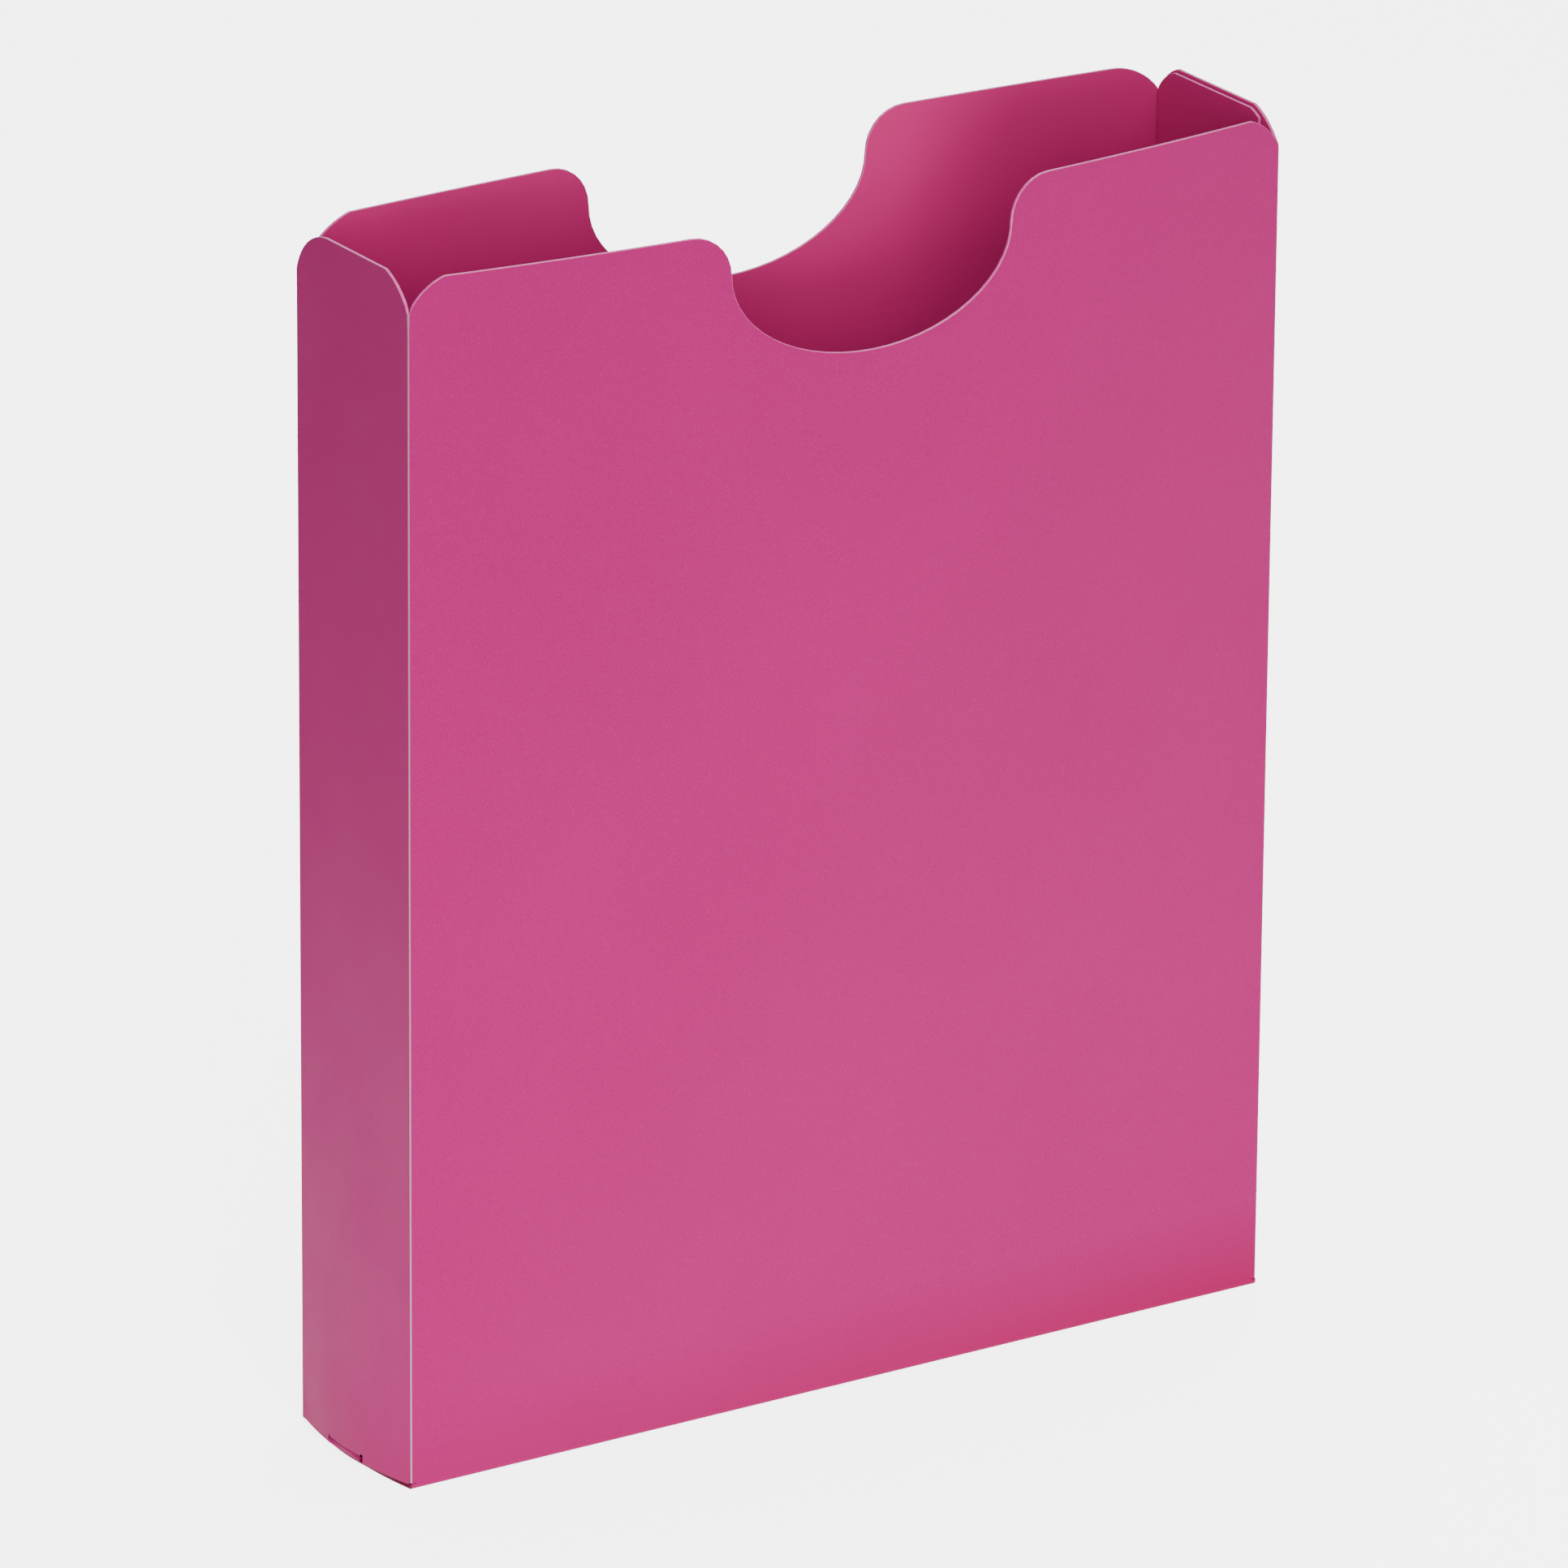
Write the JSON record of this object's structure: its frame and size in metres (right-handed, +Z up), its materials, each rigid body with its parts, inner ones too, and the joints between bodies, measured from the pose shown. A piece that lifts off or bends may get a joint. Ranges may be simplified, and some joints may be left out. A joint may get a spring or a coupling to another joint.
{
  "type": "magazine file box",
  "caption": "Upright open-top magazine box folded from coloured plastic sheet, with thumb notches, a tuck-in bottom and creases that fold flat.",
  "frame": {"origin": "centre of the nominal 250 by 52 mm footprint, on the surface that the box stands on", "axes": "+Z up, X along the wide walls, the front wall faces -Y and the doubled end is at +X"},
  "size_m": [0.257, 0.0668, 0.31],
  "materials": {
    "pink_sheet": "fine sand-blasted grain"
  },
  "bodies": {
    "back": {"back_panel": "pink_sheet", "back_left_crease": "pink_sheet", "back_right_crease": "pink_sheet"},
    "left_end": {"left_end_panel": "pink_sheet", "front_left_crease": "pink_sheet", "left_tongue_crease": "pink_sheet"},
    "front": {"front_panel": "pink_sheet", "front_right_crease": "pink_sheet", "front_bottom_crease": "pink_sheet"},
    "right_outer": {"right_end_outer_panel": "pink_sheet", "right_tongue_crease": "pink_sheet"},
    "right_inner": {"right_end_inner_panel": "pink_sheet"},
    "bottom": {"bottom_panel": "pink_sheet", "tuck_lip_crease": "pink_sheet"},
    "tuck_lip": {"bottom_tuck_lip": "pink_sheet"},
    "left_tongue": {"left_bottom_tongue": "pink_sheet"},
    "right_tongue": {"right_bottom_tongue": "pink_sheet"}
  },
  "joints": [
    {"name": "fold_flat", "type": "hinge", "parent": "back", "child": "left_end", "pos_m": [-0.1242, 0.0252, 0.15], "axis": [0, 0, 1], "range_deg": [0, 75]},
    {"name": "front_left_fold", "type": "hinge", "parent": "left_end", "child": "front", "pos_m": [-0.1242, -0.0252, 0.15], "axis": [0, 0, -1], "range_deg": [0, 75]},
    {"name": "front_right_fold", "type": "hinge", "parent": "front", "child": "right_outer", "pos_m": [0.1242, -0.0252, 0.15], "axis": [0, 0, 1], "range_deg": [0, 75]},
    {"name": "back_right_fold", "type": "hinge", "parent": "back", "child": "right_inner", "pos_m": [0.1242, 0.0252, 0.15], "axis": [0, 0, 1], "range_deg": [0, 75]},
    {"name": "bottom_fold", "type": "hinge", "parent": "front", "child": "bottom", "pos_m": [0, -0.0252, 0.0008], "axis": [-1, 0, 0], "range_deg": [0, 90]},
    {"name": "left_tongue_fold", "type": "hinge", "parent": "left_end", "child": "left_tongue", "pos_m": [-0.12769, 0, 0.0019], "axis": [0, 1, 0], "range_deg": [0, 90]},
    {"name": "right_tongue_fold", "type": "hinge", "parent": "right_outer", "child": "right_tongue", "pos_m": [0.12769, 0, 0.0019], "axis": [0, -1, 0], "range_deg": [0, 90]},
    {"name": "tuck_lip_fold", "type": "hinge", "parent": "bottom", "child": "tuck_lip", "pos_m": [0, 0.0234, 0.0008], "axis": [1, 0, 0], "range_deg": [0, 80]}
  ],
  "couplings": [
    {"joint": "front_left_fold", "follows": "fold_flat", "ratio": 1},
    {"joint": "front_right_fold", "follows": "fold_flat", "ratio": 1},
    {"joint": "back_right_fold", "follows": "fold_flat", "ratio": 1},
    {"joint": "bottom_fold", "follows": "fold_flat", "ratio": 1.2},
    {"joint": "left_tongue_fold", "follows": "fold_flat", "ratio": 1.1},
    {"joint": "right_tongue_fold", "follows": "fold_flat", "ratio": 1.1}
  ]
}
